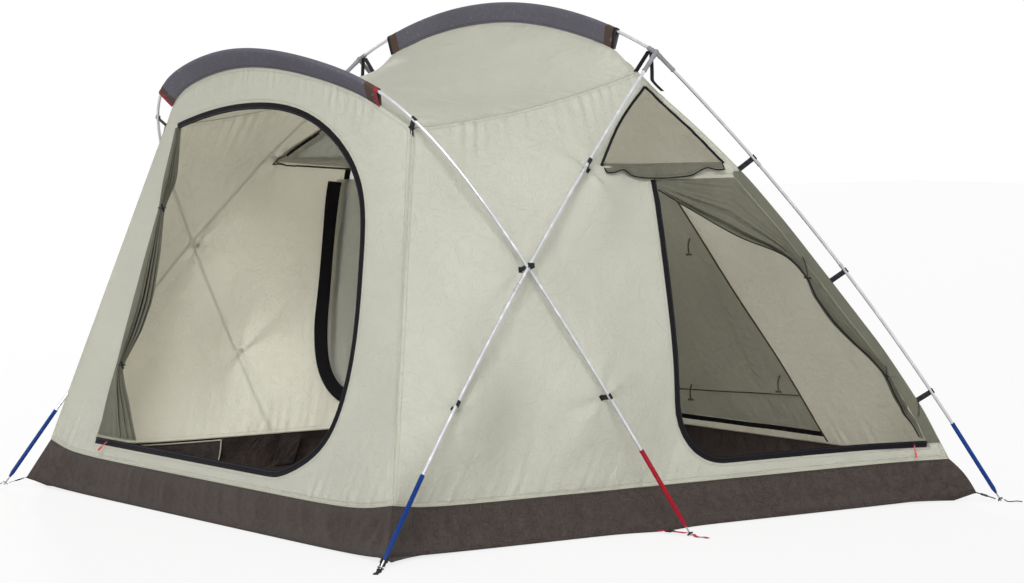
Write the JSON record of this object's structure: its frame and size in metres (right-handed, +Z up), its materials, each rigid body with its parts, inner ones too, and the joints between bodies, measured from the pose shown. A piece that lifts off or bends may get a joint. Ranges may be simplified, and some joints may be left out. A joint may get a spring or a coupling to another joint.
{
  "type": "family dome tent",
  "caption": "Square family dome tent with a front arch pole, raised ridge pole, coloured pole ends, dark tub floor and two open doors.",
  "frame": {"origin": "on the ground under the middle of the tent", "axes": "+Z up, the front door faces -Y, the open side door faces +X"},
  "size_m": [2.8634, 2.8487, 1.8568],
  "materials": {
    "wall_cloth": "woven polyester, matt",
    "tub_cloth": "coated polyester, low sheen",
    "sleeve_mesh": "fine net",
    "flap_cloth": "woven polyester, inner face",
    "net": "fine net",
    "webbing": "black webbing",
    "zip": "black coil zip",
    "clip_plastic": "black moulded plastic",
    "pull_cord": "pink-red cord",
    "pole": "bright anodised tube",
    "hub": "satin grey",
    "blue_end": "blue anodised tube",
    "red_end": "red anodised tube"
  },
  "bodies": {
    "tent": {"front_arch_pole": "pole", "front_door_flap": "flap_cloth", "front_left_leg": "pole", "front_left_pole_end": "blue_end", "front_left_strap": "webbing", "front_right_leg": "pole", "front_right_pole_end": "blue_end", "front_right_strap": "webbing", "front_sleeve": "sleeve_mesh", "front_wall": "wall_cloth", "front_zip": "zip", "left_door_panel": "flap_cloth", "left_hub": "hub", "left_hub_strap": "webbing", "left_vent_panel": "net", "left_wall": "wall_cloth", "left_zip": "zip", "middle_left_pole_end": "red_end", "middle_left_strap": "webbing", "middle_right_pole_end": "red_end", "middle_right_strap": "webbing", "rear_left_leg": "pole", "rear_left_pole_end": "blue_end", "rear_left_strap": "webbing", "rear_right_leg": "pole", "rear_right_pole_end": "blue_end", "rear_right_strap": "webbing", "rear_wall": "wall_cloth", "ridge_pole": "pole", "ridge_sleeve": "sleeve_mesh", "right_door_flap": "flap_cloth", "right_hub": "hub", "right_hub_strap": "webbing", "right_vent_flap": "flap_cloth", "right_wall": "wall_cloth", "right_zip": "zip", "roof": "wall_cloth", "tub_floor": "tub_cloth"},
    "arch_left_clip_1": {"arch_left_clip_1": "clip_plastic"},
    "arch_left_clip_2": {"arch_left_clip_2": "clip_plastic"},
    "arch_right_clip_1": {"arch_right_clip_1": "clip_plastic"},
    "arch_right_clip_2": {"arch_right_clip_2": "clip_plastic"},
    "crossing_left_clip": {"crossing_left_clip": "clip_plastic"},
    "crossing_right_clip": {"crossing_right_clip": "clip_plastic"},
    "front_left_clip_1": {"front_left_clip_1": "clip_plastic"},
    "front_left_clip_2": {"front_left_clip_2": "clip_plastic"},
    "front_right_clip_1": {"front_right_clip_1": "clip_plastic"},
    "front_right_clip_2": {"front_right_clip_2": "clip_plastic"},
    "rear_left_clip_1": {"rear_left_clip_1": "clip_plastic"},
    "rear_left_clip_2": {"rear_left_clip_2": "clip_plastic"},
    "rear_left_clip_3": {"rear_left_clip_3": "clip_plastic"},
    "rear_right_clip_1": {"rear_right_clip_1": "clip_plastic"},
    "rear_right_clip_2": {"rear_right_clip_2": "clip_plastic"},
    "rear_right_clip_3": {"rear_right_clip_3": "clip_plastic"},
    "front_zip_slider": {"front_zip_slider": "clip_plastic"},
    "front_zip_pull": {"front_zip_pull": "pull_cord"},
    "right_zip_slider": {"right_zip_slider": "clip_plastic"},
    "right_zip_pull": {"right_zip_pull": "pull_cord"},
    "left_zip_slider": {"left_zip_slider": "clip_plastic"},
    "left_zip_pull": {"left_zip_pull": "pull_cord"}
  },
  "joints": [
    {"name": "arch_left_clip_1_hinge", "type": "hinge", "parent": "tent", "child": "arch_left_clip_1", "pos_m": [-1.2109, -0.37359, 0.48176], "axis": [-0.1817, 0.4897, -0.8527], "range_deg": [0, 50]},
    {"name": "arch_left_clip_2_hinge", "type": "hinge", "parent": "tent", "child": "arch_left_clip_2", "pos_m": [-0.85501, -0.90358, 1.4008], "axis": [-0.6633, 0.3727, -0.649], "range_deg": [0, 50]},
    {"name": "arch_right_clip_1_hinge", "type": "hinge", "parent": "tent", "child": "arch_right_clip_1", "pos_m": [1.2109, -0.37359, 0.48176], "axis": [-0.1817, -0.4897, 0.8527], "range_deg": [0, 50]},
    {"name": "arch_right_clip_2_hinge", "type": "hinge", "parent": "tent", "child": "arch_right_clip_2", "pos_m": [0.85501, -0.90358, 1.4008], "axis": [-0.6633, -0.3727, 0.649], "range_deg": [0, 50]},
    {"name": "crossing_left_clip_hinge", "type": "hinge", "parent": "tent", "child": "crossing_left_clip", "pos_m": [-1.10232, -0.63223, 0.92155], "axis": [-0.2702, -0.103, -0.9573], "range_deg": [0, 50]},
    {"name": "crossing_right_clip_hinge", "type": "hinge", "parent": "tent", "child": "crossing_right_clip", "pos_m": [1.10232, -0.63223, 0.92155], "axis": [-0.2702, 0.103, 0.9573], "range_deg": [0, 50]},
    {"name": "front_left_clip_1_hinge", "type": "hinge", "parent": "tent", "child": "front_left_clip_1", "pos_m": [-1.21494, -0.98474, 0.48613], "axis": [-0.162, -0.6101, -0.7756], "range_deg": [0, 50]},
    {"name": "front_left_clip_2_hinge", "type": "hinge", "parent": "tent", "child": "front_left_clip_2", "pos_m": [-1.03403, -0.29873, 1.24913], "axis": [-0.1846, -0.6775, -0.712], "range_deg": [0, 50]},
    {"name": "front_right_clip_1_hinge", "type": "hinge", "parent": "tent", "child": "front_right_clip_1", "pos_m": [1.21494, -0.98474, 0.48613], "axis": [-0.162, 0.6101, 0.7756], "range_deg": [0, 50]},
    {"name": "front_right_clip_2_hinge", "type": "hinge", "parent": "tent", "child": "front_right_clip_2", "pos_m": [1.03403, -0.29873, 1.24913], "axis": [-0.1846, 0.6775, 0.712], "range_deg": [0, 50]},
    {"name": "rear_left_clip_1_hinge", "type": "hinge", "parent": "tent", "child": "rear_left_clip_1", "pos_m": [-1.21273, 1.0743, 0.38481], "axis": [-0.2003, 0.5416, -0.8164], "range_deg": [0, 50]},
    {"name": "rear_left_clip_2_hinge", "type": "hinge", "parent": "tent", "child": "rear_left_clip_2", "pos_m": [-1.1045, 0.7497, 0.83143], "axis": [-0.1786, 0.6091, -0.7727], "range_deg": [0, 50]},
    {"name": "rear_left_clip_3_hinge", "type": "hinge", "parent": "tent", "child": "rear_left_clip_3", "pos_m": [-1.01126, 0.39646, 1.2411], "axis": [-0.155, 0.6739, -0.7223], "range_deg": [0, 50]},
    {"name": "rear_right_clip_1_hinge", "type": "hinge", "parent": "tent", "child": "rear_right_clip_1", "pos_m": [1.21273, 1.0743, 0.38481], "axis": [-0.2003, -0.5416, 0.8164], "range_deg": [0, 50]},
    {"name": "rear_right_clip_2_hinge", "type": "hinge", "parent": "tent", "child": "rear_right_clip_2", "pos_m": [1.1045, 0.7497, 0.83143], "axis": [-0.1786, -0.6091, 0.7727], "range_deg": [0, 50]},
    {"name": "rear_right_clip_3_hinge", "type": "hinge", "parent": "tent", "child": "rear_right_clip_3", "pos_m": [1.01126, 0.39646, 1.2411], "axis": [-0.155, -0.6739, 0.7223], "range_deg": [0, 50]},
    {"name": "front_zip_run", "type": "slide", "parent": "tent", "child": "front_zip_slider", "axis": [1, -0.0013, 0], "range_m": [-0.025, 1.14]},
    {"name": "front_zip_pull_hinge", "type": "hinge", "parent": "front_zip_slider", "child": "front_zip_pull", "pos_m": [-0.74298, -1.23419, 0.21507], "axis": [-1, 0.0013, 0], "range_deg": [0, 95]},
    {"name": "right_zip_run", "type": "slide", "parent": "tent", "child": "right_zip_slider", "axis": [0.1841, 0.9829, 0], "range_m": [-0.16, 0]},
    {"name": "right_zip_pull_hinge", "type": "hinge", "parent": "right_zip_slider", "child": "right_zip_pull", "pos_m": [1.18546, 1.07877, 0.21442], "axis": [-0.1841, -0.9829, 0], "range_deg": [0, 95]},
    {"name": "left_zip_run", "type": "slide", "parent": "tent", "child": "left_zip_slider", "axis": [-0.1841, 0.9829, 0], "range_m": [0, 0.16]},
    {"name": "left_zip_pull_hinge", "type": "hinge", "parent": "left_zip_slider", "child": "left_zip_pull", "pos_m": [-1.15648, 0.924, 0.21442], "axis": [-0.1841, 0.9829, 0], "range_deg": [0, 95]}
  ]
}
